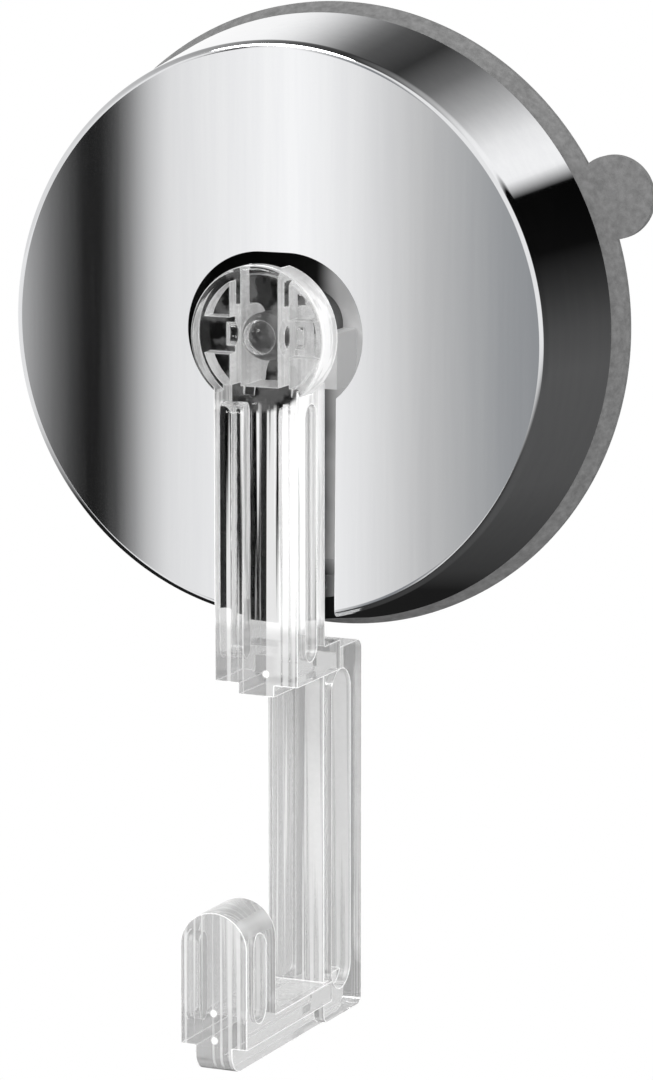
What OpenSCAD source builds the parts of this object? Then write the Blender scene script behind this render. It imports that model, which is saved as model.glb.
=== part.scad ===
// Suction cup hook with a lever lock. The wall lies in the plane y = 0, the hook hangs down
// along -z and the front faces -y. The origin is the centre of the cup's sealing face.

/* [Suction cup] */
// Outer diameter of the soft cup
cup_d = 66.8; // [64:0.5:72]
// Width of the flat ring that seals on the wall
seal_w = 6.5; // [4:0.5:8]
// Height of the cup's rim, where the cover's back edge sits
rim_h = 3.5; // [2.6:0.1:4]
// Thickness of the cup's free outer edge
cup_edge = 1.2; // [0.8:0.1:1.6]
// Thickness of the cup's web between rim and centre
cup_web = 1.7; // [1.2:0.1:2]
// Diameter of the pull tab
tab_d = 8.8; // [7:0.5:12]
// Thickness of the pull tab
tab_t = 1; // [0.8:0.1:1.2]
// Distance from the cup's edge to the centre of the pull tab
tab_reach = 1; // [0:0.1:2]
// Direction of the pull tab above the horizontal, in degrees
tab_angle = 24; // [0:1:60]

/* [Cover] */
// Diameter of the flat face
face_d = 60.8; // [57:0.2:61.4]
// Diameter of the cover's back edge
back_d = 64.8; // [63.4:0.1:65]
// Thickness of the cover's face
face_t = 1.8; // [1.2:0.1:2.2]
// Thickness of the cover's side wall
side_t = 2.2; // [1.8:0.1:2.6]
// Bevel around the edge of the face
face_bevel = 0.45; // [0.2:0.05:0.8]
// Thickness of the thin lip around the base at the back
lip_t = 1.1; // [0.8:0.1:1.4]
// Width of the wide opening around the hook's head
keyhole_w = 20; // [19:0.5:22]
// Gap between the swinging head and the opening's top
keyhole_gap = 0.25; // [0.2:0.05:0.8]
// Width of the slot below the opening
slot_w = 13.4; // [12:0.2:15]
// Gap between the arm and the slot's floor in the side wall
slot_gap = 0.9; // [0.5:0.1:1.5]

/* [Base] */
// Thickness of the base's floor
floor_t = 2; // [1.6:0.1:2.2]
// Thickness of the ring that presses on the cup
press_t = 2.2; // [1.6:0.1:2.4]
// Width of that ring
press_w = 5; // [4:0.2:6]
// Width of the block that the cams bear on
seat_w = 10.4; // [9:0.2:14]
// Height of that block below the axis of the stem
seat_drop = 6.2; // [5:0.2:8]
// Gap between the seat's upper edge and the axis of the stem
seat_edge = 0.35; // [0.3:0.05:0.6]

/* [Stem] */
// Diameter of the ball at the stem's end
ball_d = 5.3; // [5:0.1:5.4]
// Diameter of the shank behind the ball
shank_d = 3.7; // [3.2:0.1:3.9]
// Width of the mouth that snaps over the axle
mouth_w = 1.9; // [1.6:0.1:2.1]
// Diameter of the collar that slides in the base
collar_d = 7.2; // [7:0.1:8]
// Diameter of the foot held in the cup
foot_d = 13; // [11:0.5:15]
// Thickness of the foot
foot_t = 1.2; // [1:0.1:1.4]
// Skin of the cup between the foot and the vacuum space
skin_t = 0.5; // [0.4:0.1:0.8]
// Thickness of the cup over the foot
foot_cover = 1; // [0.8:0.1:1.6]

/* [Hook] */
// Diameter of the hook's round head
head_d = 15.2; // [14:0.2:15.6]
// Distance from the pivot to the hook's front
proud = 3.8; // [3.6:0.1:4.2]
// Distance from the cover's face out to the pivot
pivot_out = 1; // [0:0.1:1.5]
// Radius on the head's front edge
head_edge = 0.7; // [0.4:0.1:0.8]
// Thickness of the head's front plate
plate_t = 1.6; // [1.2:0.1:1.6]
// Thickness of the head's side wall
ring_t = 1; // [0.8:0.1:1.4]
// Diameter of the axle inside the ball
axle_d = 2.4; // [2:0.1:2.6]
// Height of the cross ribs that carry the axle
rib_h = 3.8; // [3:0.1:4.4]
// Thickness of each cheek with its cam
cheek_t = 1.2; // [1:0.1:1.6]
// Width of the arm
arm_w = 9.5; // [9.2:0.1:11]
// Depth of the arm from front to back
arm_depth = 6.9; // [6.5:0.1:7.5]
// Thickness of the arm's flanges
arm_flange = 2; // [1.6:0.1:2.4]
// Thickness of the arm's web
arm_web = 4.1; // [3:0.1:5]
// Distance from the pivot to the underside of the step
step_z = 36.4; // [36:0.2:40]
// Thickness of the step
step_t = 3.2; // [2.4:0.1:3.4]
// Depth of the ridge under the step
step_ridge = 1.2; // [0.8:0.1:2]
// Width of the lower bar
bar_w = 6.6; // [6:0.1:8]
// Distance from the pivot back to the front of the lower bar
bar_back = 6.1; // [5:0.1:6.4]
// Depth of the lower bar from front to back
bar_depth = 9.9; // [9:0.1:10]
// Thickness of the lower bar's front flange
bar_front = 2; // [1.6:0.1:2.4]
// Thickness of the lower bar's back flange
bar_rear = 2.9; // [2.2:0.1:3.2]
// Thickness of the lower bar's web
bar_web = 1.1; // [0.8:0.1:2]
// Distance from the pivot down to the floor of the hook
floor_z = 70.6; // [66:0.2:80]
// Thickness of the flange under the hook's floor
floor_flange = 2.2; // [1.8:0.1:2.6]
// Depth of the ridge under that flange
floor_ridge = 2.9; // [2:0.1:3.5]
// Thickness of the ridge and of the upturned end's web
ridge_w = 4.2; // [3.4:0.1:5]
// Gap between the lower bar and the upturned end
throat = 13.4; // [10:0.2:20]
// Depth of the upturned end from front to back
tip_depth = 7.1; // [6:0.1:9]
// Width of the upturned end
tip_w = 7.6; // [7:0.1:9]
// Height of the upturned end above the hook's floor
tip_h = 12.1; // [9:0.1:16]
// Thickness of the upturned end's front flange
tip_front = 1.8; // [1.4:0.1:2.2]
// Thickness of the upturned end's back flange
tip_rear = 2.3; // [1.6:0.1:2.6]
// Radius on the hook's outer corners
corner_r = 2.2; // [1.4:0.1:2.6]

/* [Lock] */
// Travel of the stem when the hook is lifted
stroke = 2; // [1.6:0.1:2.2]
// Lift of the hook from locked to open, in degrees
lift = 90; // [70:5:90]
// Plastic between the axle and the cam's lowest point
cam_wall = 1.9; // [1.7:0.1:2.1]
// Running gap between the cams and their seat
cam_gap = 0.1; // [0.06:0.02:0.14]
// Radial clearance of the axle in the ball
axle_gap = 0.08; // [0.04:0.01:0.1]
// Radial clearance of the collar in the base
collar_gap = 0.08; // [0.04:0.01:0.1]
// Clearance between the ball and its socket in the head
ball_gap = 0.2; // [0.15:0.05:0.3]
// Clearance at each side of the shank
side_gap = 0.3; // [0.2:0.05:0.4]
// Gap between the swung head and the base's floor
swing_gap = 0.6; // [0.4:0.1:1]
// Gap between the cup's centre and the base's floor
relief = 0.3; // [0.2:0.05:0.5]

/* [Hidden] */
$fn = 96;

over = 1; // how far a cutting tool reaches past what it cuts
sink = 0.2; // how far one part of a solid reaches into the next

head_r = head_d / 2;
axle_r = axle_d / 2;
bore_r = axle_r + axle_gap;
ball_r = ball_d / 2;
socket_r = ball_r + ball_gap;
shank_r = shank_d / 2;
collar_r = collar_d / 2;
fork = shank_r + side_gap; // half the gap between the cheeks

axle_reach = fork + cheek_t + 1; // half the axle's length, into the cross ribs

// Cam: its reach towards the seat falls evenly as the hook is lifted
cam_low = axle_r + cam_wall;
cam_rate = stroke / lift; // millimetres of travel for each degree
cam_slope = cam_rate * 180 / PI; // the same for each radian
cam_steps = 18;
seat_depth = cam_low + stroke + cam_gap;
function cam_reach(a) = cam_low + stroke - cam_rate * a;
function cam_point(a) = [
    cam_reach(a) * cos(a) + cam_slope * sin(a),
    cam_reach(a) * sin(a) - cam_slope * cos(a)
];

// Heights above the wall
cavity_h = stroke + 0.4;
foot_low = cavity_h + skin_t;
foot_top = foot_low + foot_t;
centre_h = foot_top + foot_cover;
floor_low = centre_h + relief;
floor_top = floor_low + floor_t;
pivot_h = floor_top + swing_gap + head_r + stroke;
face_h = pivot_h - pivot_out;
seat_h = pivot_h - seat_depth;
collar_top = floor_top + stroke + 0.2;

// Sweep of the head's front corner about the pivot
swing_r = norm([head_r, proud - head_edge]);
keyhole_r = swing_r + keyhole_gap;

// Radii about the axis of the cup
face_r = face_d / 2;
back_r = back_d / 2;
cup_r = cup_d / 2;
seat_r = back_r - lip_t;
press_in = seat_r - press_w;
seal_in = cup_r - seal_w;
centre_r = foot_d / 2 + 1.5;

// Front and back faces of the hook, measured from the pivot, + towards the wall
arm_y = [-proud, arm_depth - proud];
bar_y = [bar_back, bar_back + bar_depth];
tip_y = [bar_back - throat - tip_depth, bar_back - throat];
step_top = step_t - step_z;
bar_top = 1.7 - step_z;
foot_z = -floor_z - floor_flange;
ridge_z = foot_z - floor_ridge;
pocket_side = 0.4; // wall left where a pocket's round end meets a flange

// Turns a profile of (radius, height above the wall) about the axis of the cup
module turned() {
    rotate([90, 0, 0]) rotate_extrude() children();
}

// Stands a front view, drawn in (x, z), between two heights above the wall
module front_slab(low, high) {
    rotate([90, 0, 0]) translate([0, 0, low]) linear_extrude(high - low) children();
}

// Stands a side view, drawn in (y, z), between two places along x
module side_slab(from, to) {
    translate([from, 0, 0]) rotate([90, 0, 90]) linear_extrude(to - from) children();
}

// Side view of a block with round corners
module round_block(y0, z0, y1, z1, r) {
    translate([y0 + r, z0]) square([y1 - y0 - 2 * r, z1 - z0]);
    translate([y0, z0 + r]) square([y1 - y0, z1 - z0 - 2 * r]);
    for (y = [y0 + r, y1 - r]) for (z = [z0 + r, z1 - r]) translate([y, z]) circle(r);
}

// Side view of an upright pocket with full round ends
module pocket(y0, z0, y1, z1) {
    r = (y1 - y0) / 2;
    translate([y0, z0 + r]) square([y1 - y0, z1 - z0 - 2 * r]);
    for (z = [z0 + r, z1 - r]) translate([y0 + r, z]) circle(r);
}

// A pocket cut from both sides down to a web in the middle
module side_pockets(width, web, y0, z0, y1, z1) {
    side_slab(web / 2, width / 2 + over) pocket(y0, z0, y1, z1);
    side_slab(-width / 2 - over, -web / 2) pocket(y0, z0, y1, z1);
}

// Soft cup: a sealing ring, a thin web arched over the vacuum space and a pull tab
module suction_cup() {
    tab_at = cup_r + tab_reach;
    color("silver") difference() {
        union() {
            turned() polygon([
                [seal_in, 0], [cup_r, 0], [cup_r, cup_edge], [back_r - lip_t / 2, rim_h],
                [press_in, rim_h], [press_in - 3, cup_web + 1], [centre_r + 3, centre_h - 1.2],
                [centre_r, centre_h], [0, centre_h], [0, cavity_h], [centre_r, cavity_h]
            ]);
            rotate([0, -tab_angle, 0]) front_slab(0, tab_t) {
                translate([tab_at, 0]) circle(tab_d / 2);
                translate([seal_in + 1, -tab_d / 4]) square([tab_at - seal_in - 1, tab_d / 2]);
            }
        }
        // Seat of the stem's foot and collar
        turned() square([foot_d / 2, foot_top]);
        turned() square([collar_r, centre_h + over]);
    }
    // Skin under the foot, which keeps the air out
    color("silver") turned() translate([0, cavity_h]) square([centre_r, skin_t]);
}

// Base: presses on the cup's rim and gives the cams their seat
module base() {
    color("dimgray") difference() {
        union() {
            turned() polygon([
                [0, floor_low], [press_in - 2, floor_low], [press_in, rim_h], [seat_r, rim_h],
                [seat_r, rim_h + press_t], [press_in + 1, rim_h + press_t],
                [press_in - 1, floor_top], [0, floor_top]
            ]);
            front_slab(floor_top - sink, seat_h)
                translate([-seat_w / 2, -seat_drop]) square([seat_w, seat_drop - seat_edge]);
        }
        // Guide for the collar
        turned() square([collar_r + collar_gap, collar_top + 0.2]);
        // Way in for the ball
        front_slab(0, face_h) circle(socket_r);
        front_slab(floor_top, face_h) translate([-socket_r, -socket_r]) square([2 * socket_r, 2 * socket_r]);
    }
}

// Cover: a flared drum with a keyhole opening that runs out through its lower side
module cover() {
    inner_face = face_h - face_t;
    color("whitesmoke") difference() {
        turned() polygon([
            [0, face_h], [face_r - face_bevel, face_h], [face_r, face_h - face_bevel],
            [back_r, rim_h], [seat_r, rim_h], [seat_r, rim_h + press_t],
            [back_r - side_t, rim_h + press_t], [face_r - side_t, inner_face], [0, inner_face]
        ]);
        front_slab(inner_face - over, face_h + over) keyhole();
        front_slab(pivot_h - arm_y[1] - slot_gap, face_h + over)
            translate([-slot_w / 2, -back_r - over]) square([slot_w, back_r - keyhole_r]);
    }
}

// Front view of the opening: a wide round end with a straight slot below it
module keyhole() {
    shift = max(keyhole_w / 2 - keyhole_r, 0.1);
    for (x = [-shift, shift]) translate([x, 0]) circle(keyhole_r);
    translate([-shift, -keyhole_r]) square([2 * shift, 2 * keyhole_r]);
    translate([-slot_w / 2, -back_r - over]) square([slot_w, back_r + over]);
}

// Stem: a foot held in the cup, a sliding collar and a ball bored for the hook's axle
module stem() {
    color("gray") difference() {
        union() {
            turned() polygon([
                [0, foot_low], [foot_d / 2, foot_low], [foot_d / 2, foot_top],
                [collar_r, foot_top], [collar_r, collar_top], [shank_r, collar_top],
                [shank_r, pivot_h], [0, pivot_h]
            ]);
            translate([0, -pivot_h, 0]) sphere(ball_r);
        }
        translate([-ball_r - over, -pivot_h, 0]) rotate([0, 90, 0])
            cylinder(h = ball_d + 2 * over, r = bore_r);
        translate([-ball_r - over, -pivot_h - mouth_w / 2, 0]) cube([ball_d + 2 * over, mouth_w, ball_r + over]);
    }
}

// Hook: one clear moulding with a round forked head, a stepped arm and an upturned end
module hook() {
    color("lightcyan") translate([0, -pivot_h, 0]) {
        difference() {
            union() {
                head_shell();
                for (side = [-1, 1]) cheek(side);
                for (side = [-1, 1]) cross_ribs(side);
                arm();
            }
            ball_space();
        }
        translate([-axle_reach, 0, 0]) rotate([0, 90, 0]) cylinder(h = 2 * axle_reach, r = axle_r);
        lower_bar();
        floor_and_tip();
    }
}

// Round front plate with a side wall behind it
module head_shell() {
    difference() {
        turned() {
            square([head_r - head_edge, proud]);
            square([head_r, proud - head_edge]);
            translate([head_r - head_edge, proud - head_edge]) circle(head_edge);
        }
        turned() translate([0, -over]) square([head_r - ring_t, proud - plate_t + over]);
        turned() translate([0, -over]) square([head_r + over, over]);
    }
}

// Cheek beside the eye, with the cam at its back
module cheek(side) {
    inner = side * fork;
    outer = side * (fork + cheek_t);
    side_slab(min(inner, outer), max(inner, outer)) polygon(concat(
        [[-proud + plate_t - sink, cam_low], [0, cam_low]],
        [for (i = [0 : cam_steps]) cam_point(90 - i * 90 / cam_steps)],
        [[cam_reach(0), -cam_low], [arm_y[1], -head_r + 1], [-proud + plate_t - sink, -head_r + 1]]
    ));
}

// Ribs behind the front plate: one upright beside the fork, one level that carries the axle
module cross_ribs(side) {
    inner = side * fork;
    outer = side * (fork + cheek_t);
    wall = side * (head_r - ring_t / 2);
    side_slab(min(inner, outer), max(inner, outer))
        translate([-proud + head_edge, -1]) square([proud - head_edge, head_r - ring_t / 2 + 0.6]);
    side_slab(min(inner, wall), max(inner, wall))
        translate([-proud + head_edge, -rib_h / 2]) square([proud - head_edge, rib_h]);
}

// Room for the ball in its socket, and for the shank as the hook is lifted
module ball_space() {
    rotate([0, 90, 0]) sphere(socket_r);
    side_slab(-fork, fork) {
        translate([0, -shank_r - side_gap]) square([cam_reach(0) + over, shank_r + side_gap]);
        translate([-shank_r - side_gap, 0]) square([cam_reach(0) + fork + over, head_r + over]);
    }
}

// Upper arm: two flanges joined by a web, ending in the step back to the lower bar
module arm() {
    top = -head_r + 2.4;
    difference() {
        union() {
            side_slab(-arm_w / 2, arm_w / 2) {
                translate([arm_y[0], -step_z]) square([arm_depth, step_z + top]);
                translate([arm_y[0], -step_z]) square([bar_y[0] + 1 - arm_y[0], step_t]);
            }
            side_slab(-arm_web / 2, arm_web / 2)
                translate([arm_y[0], -step_z - step_ridge])
                    square([bar_y[0] + sink - arm_y[0], step_ridge + sink]);
        }
        side_pockets(arm_w, arm_web, arm_y[0] + arm_flange, floor_flange - step_z,
            arm_y[1] - arm_flange, -head_r + 0.6);
    }
}

// Lower bar: pocketed from both sides, with round ends to the pockets
module lower_bar() {
    difference() {
        side_slab(-bar_w / 2, bar_w / 2)
            round_block(bar_y[0], ridge_z + 0.5, bar_y[1], bar_top, corner_r / 2);
        side_pockets(bar_w, bar_web, bar_y[0] + bar_front, foot_z + 0.6,
            bar_y[1] - bar_rear, bar_top - 2.4);
    }
}

// Floor of the hook with its ridge below, and the upturned end
module floor_and_tip() {
    side_slab(-tip_w / 2, tip_w / 2)
        translate([tip_y[0], foot_z]) square([bar_y[0] + 1 - tip_y[0], floor_flange]);
    side_slab(-ridge_w / 2, ridge_w / 2)
        round_block(tip_y[0], ridge_z, bar_y[1] - 0.6, foot_z + floor_flange - 0.1, corner_r);
    difference() {
        front_slab(-tip_y[1], -tip_y[0]) {
            translate([-tip_w / 2, foot_z]) square([tip_w, tip_h + floor_flange - tip_w / 2]);
            translate([0, tip_h - floor_z - tip_w / 2]) circle(tip_w / 2);
        }
        side_pockets(tip_w, ridge_w, tip_y[0] + tip_front, foot_z + floor_flange,
            tip_y[1] - tip_rear, tip_h - floor_z - tip_w / 2 + 1.2);
    }
}

suction_cup();
base();
cover();
stem();
hook();
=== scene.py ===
import bpy, bmesh
from math import radians, sin, cos, pi
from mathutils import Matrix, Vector


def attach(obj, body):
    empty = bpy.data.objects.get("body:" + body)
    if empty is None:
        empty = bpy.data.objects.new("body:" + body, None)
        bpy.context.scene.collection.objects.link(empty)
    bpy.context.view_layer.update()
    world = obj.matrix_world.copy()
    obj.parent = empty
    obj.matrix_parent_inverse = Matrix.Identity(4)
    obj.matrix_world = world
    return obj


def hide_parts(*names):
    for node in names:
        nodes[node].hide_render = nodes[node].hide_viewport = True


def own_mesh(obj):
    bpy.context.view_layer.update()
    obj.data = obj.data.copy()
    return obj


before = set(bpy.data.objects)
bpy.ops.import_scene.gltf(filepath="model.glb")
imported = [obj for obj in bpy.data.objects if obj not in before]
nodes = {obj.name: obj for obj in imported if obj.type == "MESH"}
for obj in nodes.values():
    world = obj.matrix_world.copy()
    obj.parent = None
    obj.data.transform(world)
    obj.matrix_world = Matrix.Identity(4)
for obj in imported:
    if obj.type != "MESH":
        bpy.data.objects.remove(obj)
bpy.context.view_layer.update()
scene = bpy.context.scene
mm = 0.001
print("suction hook: frame loaded")


def grey(v):
    return (v, v, v, 1.0)


# node graph of a material or of the room
class Graph:
    def __init__(self, tree):
        self.tree = tree
        tree.nodes.clear()

    def add(self, kind, **values):  # each value is a property of the node or one of its inputs
        node = self.tree.nodes.new(kind)
        for key, value in values.items():
            if hasattr(node, key):
                setattr(node, key, value)
            else:
                node.inputs[key.replace("_", " ")].default_value = value
        return node

    def join(self, source, target):
        self.tree.links.new(source, target)

    def feed(self, value, target):  # a socket is linked, a plain value is set
        if isinstance(value, bpy.types.NodeSocket):
            self.join(value, target)
        else:
            target.default_value = value

    def math(self, operation, *values):
        node = self.add("ShaderNodeMath", operation=operation)
        for slot, value in enumerate(values):
            self.feed(value, node.inputs[slot])
        return node.outputs[0]

    def times(self, a, b):
        return self.math("MULTIPLY", a, b)

    def plus(self, a, b):
        return self.math("ADD", a, b)

    def timesPlus(self, a, b, c):
        return self.math("MULTIPLY_ADD", a, b, c)

    def vectorMath(self, operation, a, b):
        node = self.add("ShaderNodeVectorMath", operation=operation)
        self.feed(a, node.inputs[0])
        self.feed(b, node.inputs[1])
        return node.outputs["Value"]

    def step(self, value, start, end):  # smooth rise from 0 at start to 1 at end
        node = self.add("ShaderNodeMapRange", interpolation_type="SMOOTHSTEP", From_Min=start, From_Max=end)
        self.join(value, node.inputs["Value"])
        return node.outputs["Result"]

    def span(self, value, low, high, start=0.0, end=1.0):  # start to end spread from low to high
        node = self.add("ShaderNodeMapRange", From_Min=start, From_Max=end, To_Min=low, To_Max=high)
        self.join(value, node.inputs["Value"])
        return node.outputs["Result"]

    def parts(self, vector):
        node = self.add("ShaderNodeSeparateXYZ")
        self.join(vector, node.inputs["Vector"])
        return list(node.outputs)

    def stretch(self, vector, scale, shift=(0, 0, 0)):
        node = self.add("ShaderNodeMapping", Scale=scale, Location=shift)
        self.join(vector, node.inputs["Vector"])
        return node.outputs["Vector"]

    def noise(self, vector, scale, detail, roughness=0.5):
        node = self.add("ShaderNodeTexNoise", Scale=scale, Detail=detail, Roughness=roughness)
        self.join(vector, node.inputs["Vector"])
        return node.outputs["Fac"]

    def bump(self, height, strength, distance):
        node = self.add("ShaderNodeBump", Strength=strength, Distance=distance)
        self.join(height, node.inputs["Height"])
        return node.outputs["Normal"]

    def ramp(self, value, stops):
        node = self.add("ShaderNodeValToRGB")
        elements = node.color_ramp.elements
        while len(elements) > 1:
            elements.remove(elements[-1])
        elements[0].position, elements[0].color = stops[0]
        for place, colour in stops[1:]:
            elements.new(place).color = colour
        self.join(value, node.inputs["Fac"])
        return node.outputs["Color"]

    def colourMix(self, share, a, b):
        node = self.add("ShaderNodeMix", data_type="RGBA")
        for slot, value in ((0, share), (6, a), (7, b)):  # the colour sockets of the node
            self.feed(value, node.inputs[slot])
        return node.outputs[2]

    def shaderMix(self, share, a, b):
        node = self.add("ShaderNodeMixShader")
        for slot, value in enumerate((share, a, b)):
            self.join(value, node.inputs[slot])
        return node.outputs[0]


def newMaterial(name):
    mat = bpy.data.materials.new(name)
    mat.use_nodes = True
    return mat, Graph(mat.node_tree)


def giveMaterial(obj, mat):
    obj.data.materials.clear()
    obj.data.materials.append(mat)


def objectFrom(name, bm):
    bmesh.ops.recalc_face_normals(bm, faces=bm.faces)
    mesh = bpy.data.meshes.new(name)
    bm.to_mesh(mesh)
    bm.free()
    obj = bpy.data.objects.new(name, mesh)
    scene.collection.objects.link(obj)
    return obj


# lathe about the cup's axis: points are (radius, height above the wall) in mm
def lathe(name, points, steps):
    bm = bmesh.new()
    turns = [2 * pi * i / steps for i in range(steps)]
    rings = []
    for r, h in points:
        if r == 0:
            rings.append([bm.verts.new((0, -h * mm, 0))])
        else:
            rings.append([bm.verts.new((r * mm * cos(t), -h * mm, r * mm * sin(t))) for t in turns])
    for a, b in zip(rings, rings[1:] + rings[:1]):
        if len(a) == 1 and len(b) == 1:  # both on the axis
            continue
        for i in range(steps):
            j = (i + 1) % steps
            if len(a) == 1:
                bm.faces.new((a[0], b[j], b[i]))
            elif len(b) == 1:
                bm.faces.new((a[i], a[j], b[0]))
            else:
                bm.faces.new((a[i], a[j], b[j], b[i]))
    return objectFrom(name, bm)


# prism from an outline in (x, z) mm between two heights above the wall
def frontPrism(outline, low, high):
    bm = bmesh.new()
    face = bm.faces.new([bm.verts.new((x * mm, -low * mm, z * mm)) for x, z in outline])
    moved = bmesh.ops.extrude_face_region(bm, geom=[face])["geom"]
    bmesh.ops.translate(bm, verts=[v for v in moved if isinstance(v, bmesh.types.BMVert)],
                        vec=(0, -(high - low) * mm, 0))
    return objectFrom("tool", bm)


# cuts the tool out of the object or joins it on, and removes the tool
def boolean(obj, tool, how):
    mod = obj.modifiers.new("cut", "BOOLEAN")
    mod.operation = how
    mod.solver = "EXACT"
    mod.object = tool
    bpy.context.view_layer.update()
    mesh = bpy.data.meshes.new_from_object(obj.evaluated_get(bpy.context.evaluated_depsgraph_get()))
    obj.modifiers.clear()
    obj.data = mesh
    bpy.data.objects.remove(tool)


def smoothBy(obj, angle):
    obj.data.polygons.foreach_set("use_smooth", [True] * len(obj.data.polygons))
    obj.data.set_sharp_from_angle(angle=radians(angle))


# the flat front keeps its own normals, so that it mirrors like a plane
def sharpFront(obj):
    bm = bmesh.new()
    bm.from_mesh(obj.data)
    for edge in bm.edges:
        if any(f.normal.y < -0.9999 for f in edge.link_faces):
            edge.smooth = False
    bm.to_mesh(obj.data)
    bm.free()


def bevelEdges(obj, width, angle):
    mod = obj.modifiers.new("edge", "BEVEL")
    mod.width = width * mm
    mod.segments = 2
    mod.limit_method = "ANGLE"
    mod.angle_limit = radians(angle)
    mod.harden_normals = True
    mod.use_clamp_overlap = True


# dull plastics and rubber: colour mottled by noise, fine grain in the bump
def dullGraph(name, dark, light, rough, grain, depth=0.00005, spec=0.5):
    mat, g = newMaterial(name)
    out = g.add("ShaderNodeOutputMaterial")
    bsdf = g.add("ShaderNodeBsdfPrincipled", Specular_IOR_Level=spec)
    place = g.add("ShaderNodeTexCoord").outputs["Object"]
    mottle = g.noise(place, grain, 5.0, 0.65)
    fine = g.noise(place, grain * 7, 2.0)
    tone = g.ramp(mottle, [(0.34, grey(dark)), (0.66, grey(light))])
    g.join(tone, bsdf.inputs["Base Color"])
    g.join(g.span(mottle, rough - 0.06, rough + 0.06), bsdf.inputs["Roughness"])
    g.join(g.bump(fine, 0.35, depth), bsdf.inputs["Normal"])
    g.join(bsdf.outputs["BSDF"], out.inputs["Surface"])
    return mat, g, bsdf, tone


def dullFinish(name, **look):
    return dullGraph(name, **look)[0]


# cover: flared drum with the keyhole opening, mm as in the part's source
cover = {"faceR": 30.4, "backR": 32.4, "faceH": 16.6, "rimH": 3.5, "faceT": 1.8, "sideT": 2.2,
         "bevel": 0.8, "lip": 1.1, "press": 2.2, "edge": 0.12, "sharpAngle": 30, "steps": 360,
         "keyR": 8.46, "keyShift": 1.54, "keyDrop": 0.98, "keySteps": 48,
         "slotHalf": 6.7, "slotFloor": 13.6, "slotTop": -20, "slotEnd": -45,
         "shadeBelow": 14.5,  # cut faces of the slot lower than this get the painted shade
         "shade": {"dark": 0.003, "light": 0.008, "rough": 0.5, "grain": 140.0, "spec": 0.1}}
chromeLook = {"dark": (0.84, 0.845, 0.86, 1), "light": (0.875, 0.88, 0.89, 1), "smooth": 0.02, "rough": 0.055,
              "wiping": (14, 14, 0.5), "smears": 60.0, "waves": 35.0, "waveShare": 0.004, "waveDepth": 0.0004}


# mirror chrome with faint wiping marks, drawn out along the height, and a little waviness
def mirrorChrome(c):
    mat, g = newMaterial("mirrorChrome")
    out = g.add("ShaderNodeOutputMaterial")
    bsdf = g.add("ShaderNodeBsdfPrincipled", Metallic=1.0)
    place = g.add("ShaderNodeTexCoord").outputs["Object"]
    smear = g.noise(g.stretch(place, c["wiping"]), c["smears"], 3.0, 0.6)
    wave = g.noise(place, c["waves"], 1.0)
    g.join(g.ramp(smear, [(0.3, c["dark"]), (0.7, c["light"])]), bsdf.inputs["Base Color"])
    g.join(g.span(smear, c["smooth"], c["rough"]), bsdf.inputs["Roughness"])
    g.join(g.bump(wave, c["waveShare"], c["waveDepth"]), bsdf.inputs["Normal"])
    g.join(bsdf.outputs["BSDF"], out.inputs["Surface"])
    return mat


# two arcs side by side, open at the bottom where the slot runs out
def keyholeOutline(c):
    r, shift, half, drop = c["keyR"], c["keyShift"], c["slotHalf"], c["keyDrop"]
    arc = [(pi / 2 + drop) * i / c["keySteps"] for i in range(c["keySteps"] + 1)]
    outline = [(shift + r * cos(t - drop), r * sin(t - drop)) for t in arc]
    outline += [(-shift + r * cos(pi / 2 + t), r * sin(pi / 2 + t)) for t in arc]
    outline = [(x, z) for x, z in outline if abs(x) > half - 0.001 or z > 0]
    return outline + [(-half, -40), (half, -40)]  # past the edge of the face


def buildCover(c):
    innerFace = c["faceH"] - c["faceT"]
    seatR, seatH = c["backR"] - c["lip"], c["rimH"] + c["press"]
    points = [(0, c["faceH"])]
    for turn in range(0, 91, 15):  # rounded edge of the face
        t = radians(turn)
        points.append((c["faceR"] - c["bevel"] * (1 - sin(t)), c["faceH"] - c["bevel"] * (1 - cos(t))))
    points += [(c["backR"], c["rimH"]), (seatR, c["rimH"]), (seatR, seatH), (c["backR"] - c["sideT"], seatH),
               (c["faceR"] - c["sideT"], innerFace), (0, innerFace)]
    drum = lathe("cover_drum", points, c["steps"])
    boolean(drum, frontPrism(keyholeOutline(c), innerFace - 1, c["faceH"] + 1), "DIFFERENCE")
    half, top, end = c["slotHalf"], c["slotTop"], c["slotEnd"]
    slot = [(-half, end), (half, end), (half, top), (-half, top)]
    boolean(drum, frontPrism(slot, c["slotFloor"], c["faceH"] + 1), "DIFFERENCE")
    smoothBy(drum, c["sharpAngle"])
    sharpFront(drum)
    return drum


# painted shade: a dull near-black finish on the cut edge of the side wall under the hook's arm
def shadeSlot(drum, c):
    drum.data.materials.append(dullFinish("slotShade", **c["shade"]))
    for face in drum.data.polygons:
        lowFace = face.normal.y < -0.9 and -face.center.y < c["shadeBelow"] * mm
        if lowFace and face.center.z < c["slotTop"] * mm:
            face.material_index = 1


drum = buildCover(cover)
giveMaterial(drum, mirrorChrome(chromeLook))
shadeSlot(drum, cover)
bevelEdges(drum, cover["edge"], cover["sharpAngle"])
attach(drum, "body")
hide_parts("cover")
print("cover built")
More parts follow.
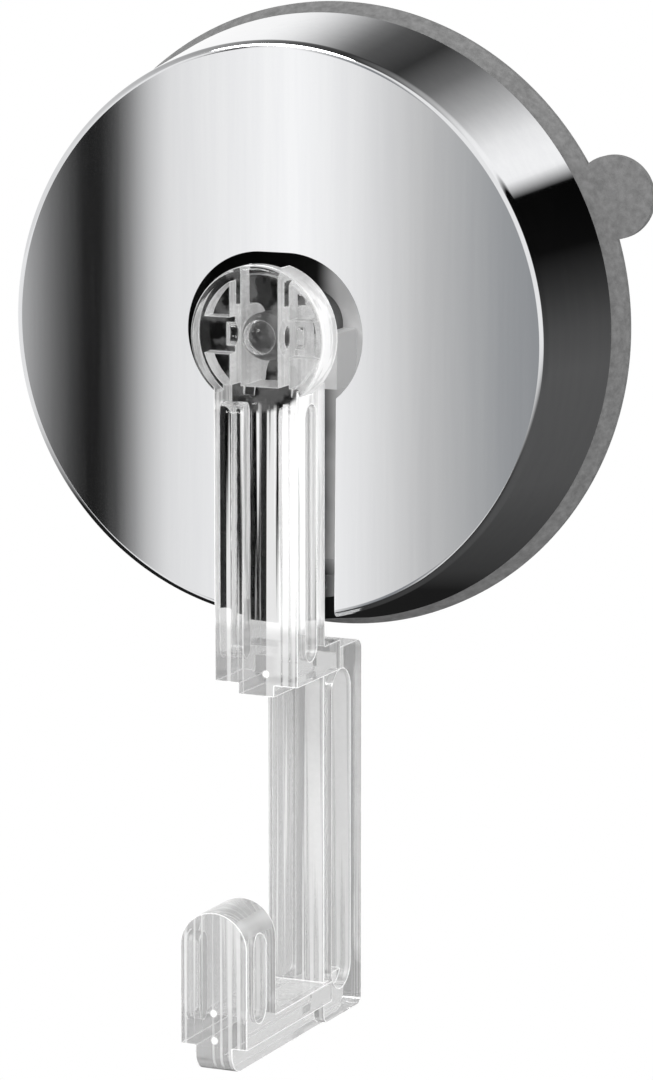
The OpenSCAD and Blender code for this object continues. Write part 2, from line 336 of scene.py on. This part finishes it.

# soft cup: a rim that stays on the wall and a dome, built apart and both attached to the body, mm
cup = {"r": 33.4, "edge": 1.2, "rimH": 3.5, "shoulder": 31.85, "sealIn": 26.9, "pressIn": 26.3,
       "neck": [(22.9, 2.72), (23.4, 1.05)],  # inner edge of the rim, under the dome's edge
       "dome": [(0, 5.3), (8, 5.3), (11, 3.9), (22.95, 2.7), (23.45, 1.07), (16, 1.9), (8, 2.1), (0, 2.1)],
       "under": 0.3, "over": 0.2,  # roundings of the outer edge
       "tabR": 4.4, "tabT": 1.0, "tabLift": 0.02, "tabAt": 34.4, "tabAngle": 24, "tabSteps": 64,
       "rimSteps": 288, "domeSteps": 192, "soften": 0.15, "sharpAngle": 32,
       "rubber": {"dark": 0.15, "light": 0.225, "rough": 0.55, "grain": 1300.0, "depth": 0.0001}}


def buildCup(c):
    r, under, over = c["r"], c["under"], c["over"]
    points = [(c["sealIn"], 0), (r - under, 0), (r, under), (r, c["edge"] - over),
              (r - over, c["edge"] + over / 2), (c["shoulder"], c["rimH"]), (c["pressIn"], c["rimH"])]
    rim = lathe("cup_rim", points + c["neck"], c["rimSteps"])
    t = radians(c["tabAngle"])
    outline = []
    for i in range(c["tabSteps"]):
        a = 2 * pi * i / c["tabSteps"]
        x, z = c["tabAt"] + c["tabR"] * cos(a), c["tabR"] * sin(a)
        outline.append((x * cos(t) - z * sin(t), x * sin(t) + z * cos(t)))
    boolean(rim, frontPrism(outline, c["tabLift"], c["tabT"]), "UNION")
    dome = lathe("cup_dome", c["dome"], c["domeSteps"])
    for piece in (rim, dome):
        smoothBy(piece, c["sharpAngle"])
    return rim, dome


rubber = dullFinish("cupRubber", **cup["rubber"])
rim, dome = buildCup(cup)
for piece in (rim, dome):
    giveMaterial(piece, rubber)
    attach(piece, "body")
    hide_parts("suction_cup")
bevelEdges(rim, cup["soften"], cup["sharpAngle"])
rim.visible_glossy = False  # the drum mirrors the room, not the tab
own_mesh(dome)
print("cup built")

# base: black recess behind the hook, its right side painted light grey with a faint glow, a painted sheen;
# places in mm
recess = {"plastic": {"dark": 0.002, "light": 0.006, "rough": 0.35, "grain": 140.0, "spec": 0.25},
          "litFrom": 1.2, "litTo": 4.2, "uneven": 1.2, "clouds": 180.0, "litTone": 0.85, "glow": 0.16}


def recessPaintedSheen(c):
    mat, g, bsdf, dark = dullGraph("blackPlasticPaintedSheen", **c["plastic"])
    place = g.add("ShaderNodeTexCoord").outputs["Object"]
    cloud = g.noise(place, c["clouds"], 2.0)
    across = g.timesPlus(cloud, c["uneven"] * mm, g.parts(place)[0])
    # painted sheen: light grey colour and a faint glow towards +x, with a cloudy edge
    paintedSheen = g.step(across, c["litFrom"] * mm, c["litTo"] * mm)
    tone = g.colourMix(paintedSheen, dark, grey(c["litTone"]))
    g.join(tone, bsdf.inputs["Base Color"])
    g.join(tone, bsdf.inputs["Emission Color"])
    bsdf.inputs["Emission Strength"].default_value = c["glow"]
    return mat


# hook: clear moulded plastic, hazy in the head and on the lower bar, with painted highlights and glow on edges
# and drawn walls
hookLook = {
    "tone": 0.985, "ior": 1.5, "spec": 0.22, "rough": 0.10, "absorb": 14.0, "absorbTone": (0.10, 0.10, 0.09, 1),
    "milk": 0.56, "headMilk": 0.39, "milkRough": 0.35,
    "bright": 0.95, "brightRough": 0.30, "glow": 0.36,  # painted glow, standing in for light led along inside the plastic
    "headR": (7.9, 7.3), "barTop": (-29.8, -31.2), "edgeR": 0.24,  # mm
    "clouds": 330.0, "speckle": 1800.0, "grain": 90.0, "waves": 300.0, "waveShare": 0.15, "waveDepth": 0.0003,
    "patchLean": 7.0, "patchEdge": (0.45, 0.57),  # denser to the right, which is painted light
    # painted highlights: streaks along the arm, thin upright lines that grow denser to the right, and round
    # glints on moulding marks
    "highlightStreaks": (900, 900, 60), "streakEdge": (0.38, 0.56),
    "lines": (1150, 0, 14), "lineShift": (3.3, 0, 0), "lineLean": 15.0, "lineEdge": (0.52, 0.61),
    "markGlints": [(1.1, -21.4, -35.2), (0.0, -32.0, -69.2), (0.1, -32.0, -72.1)], "markR": (0.5, 0.25)}
hazeShare = {"headWalls": 0.45, "headFront": 0.30, "headPatches": 0.60, "headEven": 0.02,
             "bar": 0.05, "barCloud": 0.10, "barFront": 0.12, "barSpeckle": 0.14, "most": 0.85}
# shares of the painted highlights, where a bright glowing shader is mixed over the plastic
highlightShare = {"edges": 0.85, "armWalls": 0.45, "armStreaks": 0.40, "headArmWalls": 0.4, "headWalls": 0.30,
               "barTop": 0.16, "barSides": 0.17, "armLines": 0.54, "barLines": 0.28, "markGlints": 0.7, "most": 0.92}


def clearPlastic(c, haze, light):
    mat, g = newMaterial("clearPlastic")
    out = g.add("ShaderNodeOutputMaterial")
    clear = g.add("ShaderNodeBsdfPrincipled", IOR=c["ior"], Base_Color=grey(c["tone"]),
                  Transmission_Weight=1.0, Specular_IOR_Level=c["spec"])
    milky = g.add("ShaderNodeBsdfPrincipled", Roughness=c["milkRough"])
    # painted highlight: a near-white glowing shader, mixed in by the masks below
    bright = g.add("ShaderNodeBsdfPrincipled", Roughness=c["brightRough"], Base_Color=grey(c["bright"]),
                   Emission_Color=grey(1.0), Emission_Strength=c["glow"])
    depth = g.add("ShaderNodeVolumeAbsorption", Density=c["absorb"])
    depth.inputs["Color"].default_value = c["absorbTone"]
    coord = g.add("ShaderNodeTexCoord")
    place = coord.outputs["Object"]
    x, y, z = g.parts(place)
    facingX, facingY, facingZ = g.parts(coord.outputs["Normal"])
    cloud = g.noise(place, c["clouds"], 4.0, 0.6)
    speckle = g.noise(place, c["speckle"], 2.0)

    # where the surface lies and which way it faces
    walls = g.step(g.math("ABSOLUTE", facingY), 0.75, 0.35)
    sides = g.step(g.math("ABSOLUTE", facingX), 0.5, 0.9)
    back = g.step(facingY, 0.5, 0.9)
    front = g.step(facingY, -0.5, -0.9)
    onTop = g.step(facingZ, 0.2, 0.7)
    fromAxis = g.math("SQRT", g.plus(g.math("POWER", x, 2), g.math("POWER", z, 2)))
    inHead = g.step(fromAxis, *[r * mm for r in c["headR"]])
    onBar = g.step(z, *[h * mm for h in c["barTop"]])
    notBar = g.math("SUBTRACT", 1.0, onBar)
    notHead = g.math("SUBTRACT", 1.0, inHead)

    # haze: patches in the head, denser to the right as painted light, and speckle on the lower bar
    patches = g.step(g.timesPlus(x, c["patchLean"], cloud), *c["patchEdge"])
    flatHaze = g.times(g.plus(back, g.times(front, haze["headFront"])),
                       g.timesPlus(patches, haze["headPatches"], haze["headEven"]))
    headHaze = g.times(inHead, g.timesPlus(walls, haze["headWalls"], flatHaze))
    barHaze = g.timesPlus(cloud, haze["barCloud"], haze["bar"])
    frontHaze = g.timesPlus(speckle, haze["barSpeckle"], haze["barFront"])
    hazy = g.plus(headHaze, g.times(onBar, g.timesPlus(front, frontHaze, barHaze)))
    hazy = g.math("MINIMUM", hazy, haze["most"])

    # painted highlights: edges, walls, the top and sides of the lower bar, streaks drawn along the arm and thin
    # upright lines inside arm and bar
    rounded = g.add("ShaderNodeBevel", samples=6, Radius=c["edgeR"] * mm)
    surface = g.add("ShaderNodeNewGeometry")
    turned = g.vectorMath("DOT_PRODUCT", rounded.outputs["Normal"], surface.outputs["True Normal"])
    edges = g.times(g.step(g.math("ABSOLUTE", turned), 0.985, 0.90), light["edges"])
    highlightStreaks = g.step(g.noise(g.stretch(place, c["highlightStreaks"]), 1.0, 3.0), *c["streakEdge"])
    onArm = g.times(notBar, g.math("SUBTRACT", 1.0, g.times(inHead, 1.0 - light["headArmWalls"])))
    armWalls = g.times(g.times(sides, onArm), g.timesPlus(highlightStreaks, light["armStreaks"], light["armWalls"]))
    headWalls = g.times(g.times(walls, inHead), light["headWalls"])
    barWalls = g.times(onBar, g.timesPlus(onTop, light["barTop"], g.times(sides, light["barSides"])))
    glint = g.noise(g.stretch(place, c["lines"], c["lineShift"]), 1.0, 2.0)
    lines = g.step(g.timesPlus(x, c["lineLean"], glint), *c["lineEdge"])
    lineShare = g.timesPlus(onBar, light["barLines"] - light["armLines"], light["armLines"])
    shown = g.times(g.times(front, notHead), g.times(lines, lineShare))
    lit = g.plus(g.plus(edges, barWalls), g.plus(shown, g.plus(armWalls, headWalls)))
    for mark in c["markGlints"]:  # small round moulding marks, painted as bright glints
        away = g.vectorMath("DISTANCE", place, [v * mm for v in mark])
        lit = g.plus(lit, g.times(g.step(away, *[r * mm for r in c["markR"]]), light["markGlints"]))
    lit = g.math("MINIMUM", lit, light["most"])

    uneven = g.bump(g.noise(place, c["waves"], 3.0), c["waveShare"], c["waveDepth"])
    g.join(g.span(g.noise(place, c["grain"], 3.0), 0.0, c["rough"]), clear.inputs["Roughness"])
    g.join(uneven, clear.inputs["Normal"])
    g.join(uneven, milky.inputs["Normal"])
    g.join(g.timesPlus(inHead, c["headMilk"] - c["milk"], c["milk"]), milky.inputs["Base Color"])
    body = g.shaderMix(hazy, clear.outputs[0], milky.outputs[0])
    g.join(g.shaderMix(lit, body, bright.outputs[0]), out.inputs["Surface"])
    g.join(depth.outputs["Volume"], out.inputs["Volume"])
    return mat


stemLook = {"dark": 0.16, "light": 0.24, "rough": 0.4, "grain": 160.0}

# base, stem and hook keep the shapes of their solids
giveMaterial(nodes["base"], recessPaintedSheen(recess))
giveMaterial(nodes["stem"], dullFinish("greyPlastic", **stemLook))
giveMaterial(nodes["hook"], clearPlastic(hookLook, hazeShare, highlightShare))
for name in ("base", "stem", "hook"):
    smoothBy(nodes[name], 28)
print("finishes set")

# view of the photograph: angles, distance in metres and the face's centre in its pixels
photo = {"azimuth": 24.2, "elevation": 10.0, "distance": 0.519, "focal": 5000, "width": 653, "height": 1080,
         "faceX": 270.7, "faceY": 334.2}
az, el = radians(photo["azimuth"]), radians(photo["elevation"])
faceCentre = Vector((0, -0.0176, 0))

# card that the flat face mirrors, straight across from the camera; tones run along its width
faceCard = {"away": 0.30, "size": (0.22, 0.44), "strength": 1.06, "tones": [
    (0.02, grey(0.9)), (0.12, grey(0.45)), (0.22, (0.22, 0.23, 0.245, 1)), (0.283, (0.25, 0.26, 0.275, 1)),
    (0.342, (0.32, 0.33, 0.34, 1)), (0.404, grey(0.54)), (0.455, grey(0.83)), (0.50, grey(1.0)),
    (0.56, grey(0.87)), (0.596, grey(0.78)), (0.611, grey(0.55)), (0.622, grey(0.28)), (0.633, grey(0.075)),
    (0.645, grey(0.012)), (0.658, grey(0.012)), (0.671, grey(0.07)), (0.686, grey(0.19)), (0.70, grey(0.36)),
    (0.72, grey(0.62)), (0.78, grey(0.8)), (0.95, grey(0.88))]}


def aim(obj, place, target, axis):
    obj.location = place
    obj.rotation_euler = (Vector(target) - Vector(place)).to_track_quat(axis, "Y").to_euler()


def buildFaceCard(c):
    w, h = c["size"][0] / 2, c["size"][1] / 2
    mesh = bpy.data.meshes.new("faceCard")
    mesh.from_pydata([(-w, -h, 0), (w, -h, 0), (w, h, 0), (-w, h, 0)], [], [(0, 1, 2, 3)])
    obj = bpy.data.objects.new("faceCard", mesh)
    scene.collection.objects.link(obj)
    mirrored = Vector((-sin(az) * cos(el), -cos(az) * cos(el), -sin(el)))
    aim(obj, faceCentre + mirrored * c["away"], faceCentre, "Z")
    mat, g = newMaterial("faceCardLight")
    out = g.add("ShaderNodeOutputMaterial")
    glow = g.add("ShaderNodeEmission", Strength=c["strength"])
    across = g.parts(g.add("ShaderNodeTexCoord").outputs["Generated"])[0]
    g.join(g.ramp(across, c["tones"]), glow.inputs["Color"])
    g.join(glow.outputs["Emission"], out.inputs["Surface"])
    giveMaterial(obj, mat)
    obj.visible_camera = False
    obj.visible_shadow = False
    obj.visible_diffuse = False
    lit = bpy.data.collections.new("lit by the face card")  # the card lights the drum alone
    lit.objects.link(drum)
    obj.light_linking.receiver_collection = lit


buildFaceCard(faceCard)

# room: flags are tones round the view, 0.5 at the right and 0.75 straight up
room = {"soft": 0.75, "backdropAt": (-0.36, 0.92, -0.15), "backdropEdge": (0.76, 0.92), "table": (-0.21, -0.13),
        "frontBox": (-0.68, -0.80), "frontBoxFoot": (-0.35, -0.10), "frontBoxTone": 0.9,
        "throughEdge": 0.46, "throughMiddle": 0.76, "flags": [
            (0.0, 0.9), (0.05, 0.85), (0.085, 0.012), (0.183, 0.012), (0.22, 0.04), (0.257, 0.052),
            (0.294, 0.065), (0.332, 0.084), (0.369, 0.091), (0.442, 0.098), (0.479, 0.075), (0.515, 0.036),
            (0.551, 0.004), (0.606, 0.002), (0.622, 1.0), (0.64, 1.0), (0.66, 0.9), (0.697, 0.45),
            (0.733, 0.164), (0.769, 0.037), (0.806, 0.094), (0.842, 0.26), (0.879, 0.42), (0.917, 0.58),
            (0.96, 0.8)]}


def buildRoom(c):
    world = bpy.data.worlds.new("room")
    scene.world = world
    world.use_nodes = True
    g = Graph(world.node_tree)

    def background(colour, strength=1.0):
        node = g.add("ShaderNodeBackground", Strength=strength)
        g.feed(colour, node.inputs["Color"])
        return node.outputs[0]

    out = g.add("ShaderNodeOutputWorld")
    path = g.add("ShaderNodeLightPath").outputs
    look = g.add("ShaderNodeTexCoord").outputs["Generated"]
    x, y, z = g.parts(look)
    turn = g.span(g.math("ARCTAN2", z, x), 0.0, 1.0, -pi, pi)
    flags = g.ramp(turn, [(place, grey(tone)) for place, tone in c["flags"]])
    # a soft light behind the viewer, and the white backdrop straight behind the object
    box = g.times(g.step(y, *c["frontBox"]), g.step(z, *c["frontBoxFoot"]))
    withBox = g.colourMix(box, flags, grey(c["frontBoxTone"]))
    straight = g.vectorMath("DOT_PRODUCT", look, Vector(c["backdropAt"]).normalized())
    middle = g.step(straight, *c["backdropEdge"])
    shown = g.times(middle, g.step(z, *c["table"]))
    studio = background(g.colourMix(shown, withBox, grey(1.0)))
    through = background(g.colourMix(middle, grey(c["throughEdge"]), grey(c["throughMiddle"])))
    # chrome mirrors the studio, the clear plastic shows a pale room, the camera sees white
    seen = g.shaderMix(path["Is Glossy Ray"], background(grey(1.0), c["soft"]), studio)
    seen = g.shaderMix(path["Is Transmission Ray"], seen, through)
    seen = g.shaderMix(path["Is Camera Ray"], seen, background(grey(1.0)))
    g.join(seen, out.inputs["Surface"])


buildRoom(room)

lamps = {"keyLamp": {"place": (-0.4, -0.7, 0.7), "size": 0.5, "power": 6.0, "mirrored": True},
         "fillLamp": {"place": (0.8, -0.4, 0.2), "size": 0.6, "power": 3.0, "mirrored": False}}

for name, lamp in lamps.items():
    data = bpy.data.lights.new(name, "AREA")
    data.shape = "DISK"
    data.size = lamp["size"]
    data.energy = lamp["power"]
    obj = bpy.data.objects.new(name, data)
    scene.collection.objects.link(obj)
    aim(obj, lamp["place"], (0, 0, 0), "-Z")
    obj.visible_glossy = lamp["mirrored"]
print("studio set")


# camera: the face's centre falls on its pixel in the photograph
def placeCamera(c):
    data = bpy.data.cameras.new("view")
    data.sensor_fit = "VERTICAL"
    data.sensor_height = 24.0
    data.lens = data.sensor_height * c["focal"] / c["height"]
    data.clip_start = 0.01
    cam = bpy.data.objects.new("view", data)
    scene.collection.objects.link(cam)
    right = Vector((cos(az), sin(az), 0))
    ahead = Vector((-sin(az) * cos(el), cos(az) * cos(el), -sin(el)))
    up = right.cross(ahead)
    perPixel = c["distance"] / c["focal"]
    offX = (c["faceX"] - c["width"] / 2) * perPixel
    offY = (c["height"] / 2 - c["faceY"]) * perPixel
    cam.location = faceCentre - right * offX - up * offY - ahead * c["distance"]
    cam.rotation_euler = ahead.to_track_quat("-Z", "Y").to_euler()
    scene.camera = cam


placeCamera(photo)
scene.view_settings.view_transform = "Standard"
print("camera placed")
